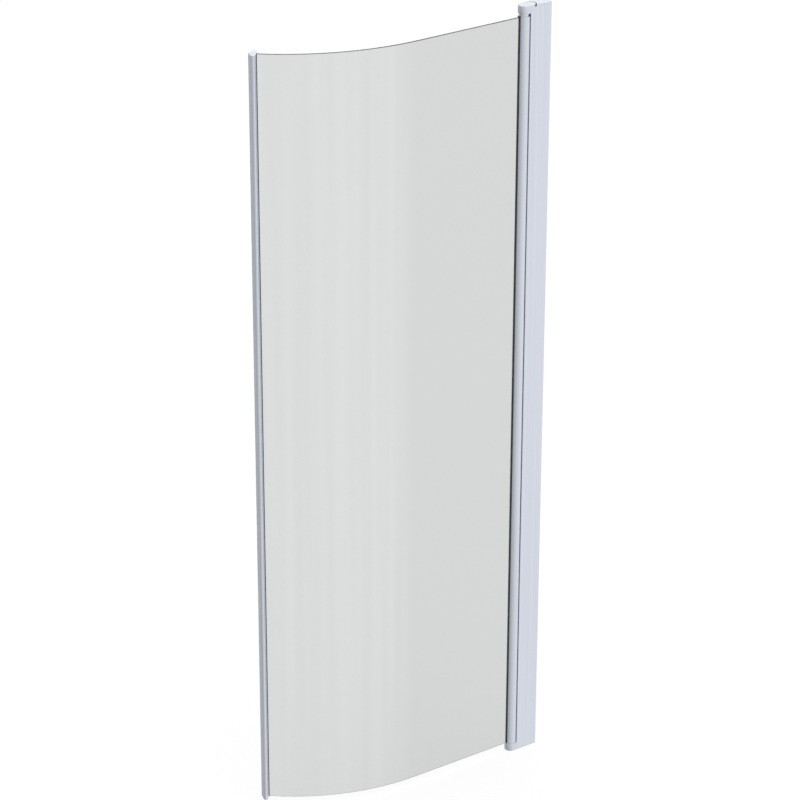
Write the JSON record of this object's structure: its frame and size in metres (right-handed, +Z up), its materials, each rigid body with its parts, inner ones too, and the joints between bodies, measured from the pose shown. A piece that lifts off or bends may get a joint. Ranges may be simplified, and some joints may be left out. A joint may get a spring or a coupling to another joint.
{
  "type": "curved shower door",
  "caption": "Curved glass swing door for a quadrant shower, on a full-height wall profile with a rise-and-fall hinge and a grip profile on the free edge.",
  "frame": {"origin": "on the wall plane, at the middle of the row of wall screws, at mid height and on the centre plane of the hinge profile", "axes": "+Z up along the column, +X into the wall, -Y to the outside of the shower; the leaf runs towards -X and bends towards +Y"},
  "size_m": [0.7394, 0.1664, 2],
  "materials": {
    "anodised_aluminium": "satin anodised",
    "die_cast_metal": "satin lacquer, the colour of the profiles",
    "tinted_glass": "polished, light grey tint",
    "black_epdm": "matt",
    "grey_pvc": "satin",
    "grey_plastic": "fine satin",
    "white_acetal": "smooth",
    "stainless_steel": "turned",
    "magnet_rubber": "matt"
  },
  "bodies": {
    "wall_frame": {"wall_channel": "anodised_aluminium", "hinge_profile": "anodised_aluminium", "lock_screws": "stainless_steel", "lock_screw_caps": "grey_plastic", "column_seals": "grey_pvc", "top_cap": "die_cast_metal", "top_cap_cover": "die_cast_metal", "top_cap_screws": "stainless_steel", "cap_joint_seal": "black_epdm", "top_end_plug": "grey_plastic", "bottom_cap": "die_cast_metal", "bottom_cap_screws": "stainless_steel", "lower_pin": "stainless_steel", "fixed_cam": "white_acetal"},
    "turning_bush": {"upper_bush": "white_acetal", "bush_clip": "stainless_steel"},
    "door_leaf": {"upper_pin": "stainless_steel", "column_top_plug": "die_cast_metal", "rising_cam": "white_acetal", "set_screws": "stainless_steel", "column_profile": "anodised_aluminium", "outer_gasket": "black_epdm", "inner_gasket": "black_epdm", "setting_blocks": "grey_plastic", "glass_panel": "tinted_glass", "grip_profile": "anodised_aluminium", "grip_gasket": "grey_pvc", "magnet_carrier": "grey_pvc", "magnet_bar": "magnet_rubber", "grip_cap_top": "grey_plastic", "grip_cap_bottom": "grey_plastic"}
  },
  "joints": [
    {"name": "swing", "type": "hinge", "parent": "wall_frame", "child": "turning_bush", "pos_m": [-0.0695, 0, 0], "axis": [0, 0, 1], "range_deg": [0, 95]},
    {"name": "lift", "type": "slide", "parent": "turning_bush", "child": "door_leaf", "axis": [0, 0, 1], "range_m": [0, 0.00475]}
  ],
  "couplings": [
    {"joint": "lift", "follows": "swing", "m_per_rad": 0.0028647}
  ]
}
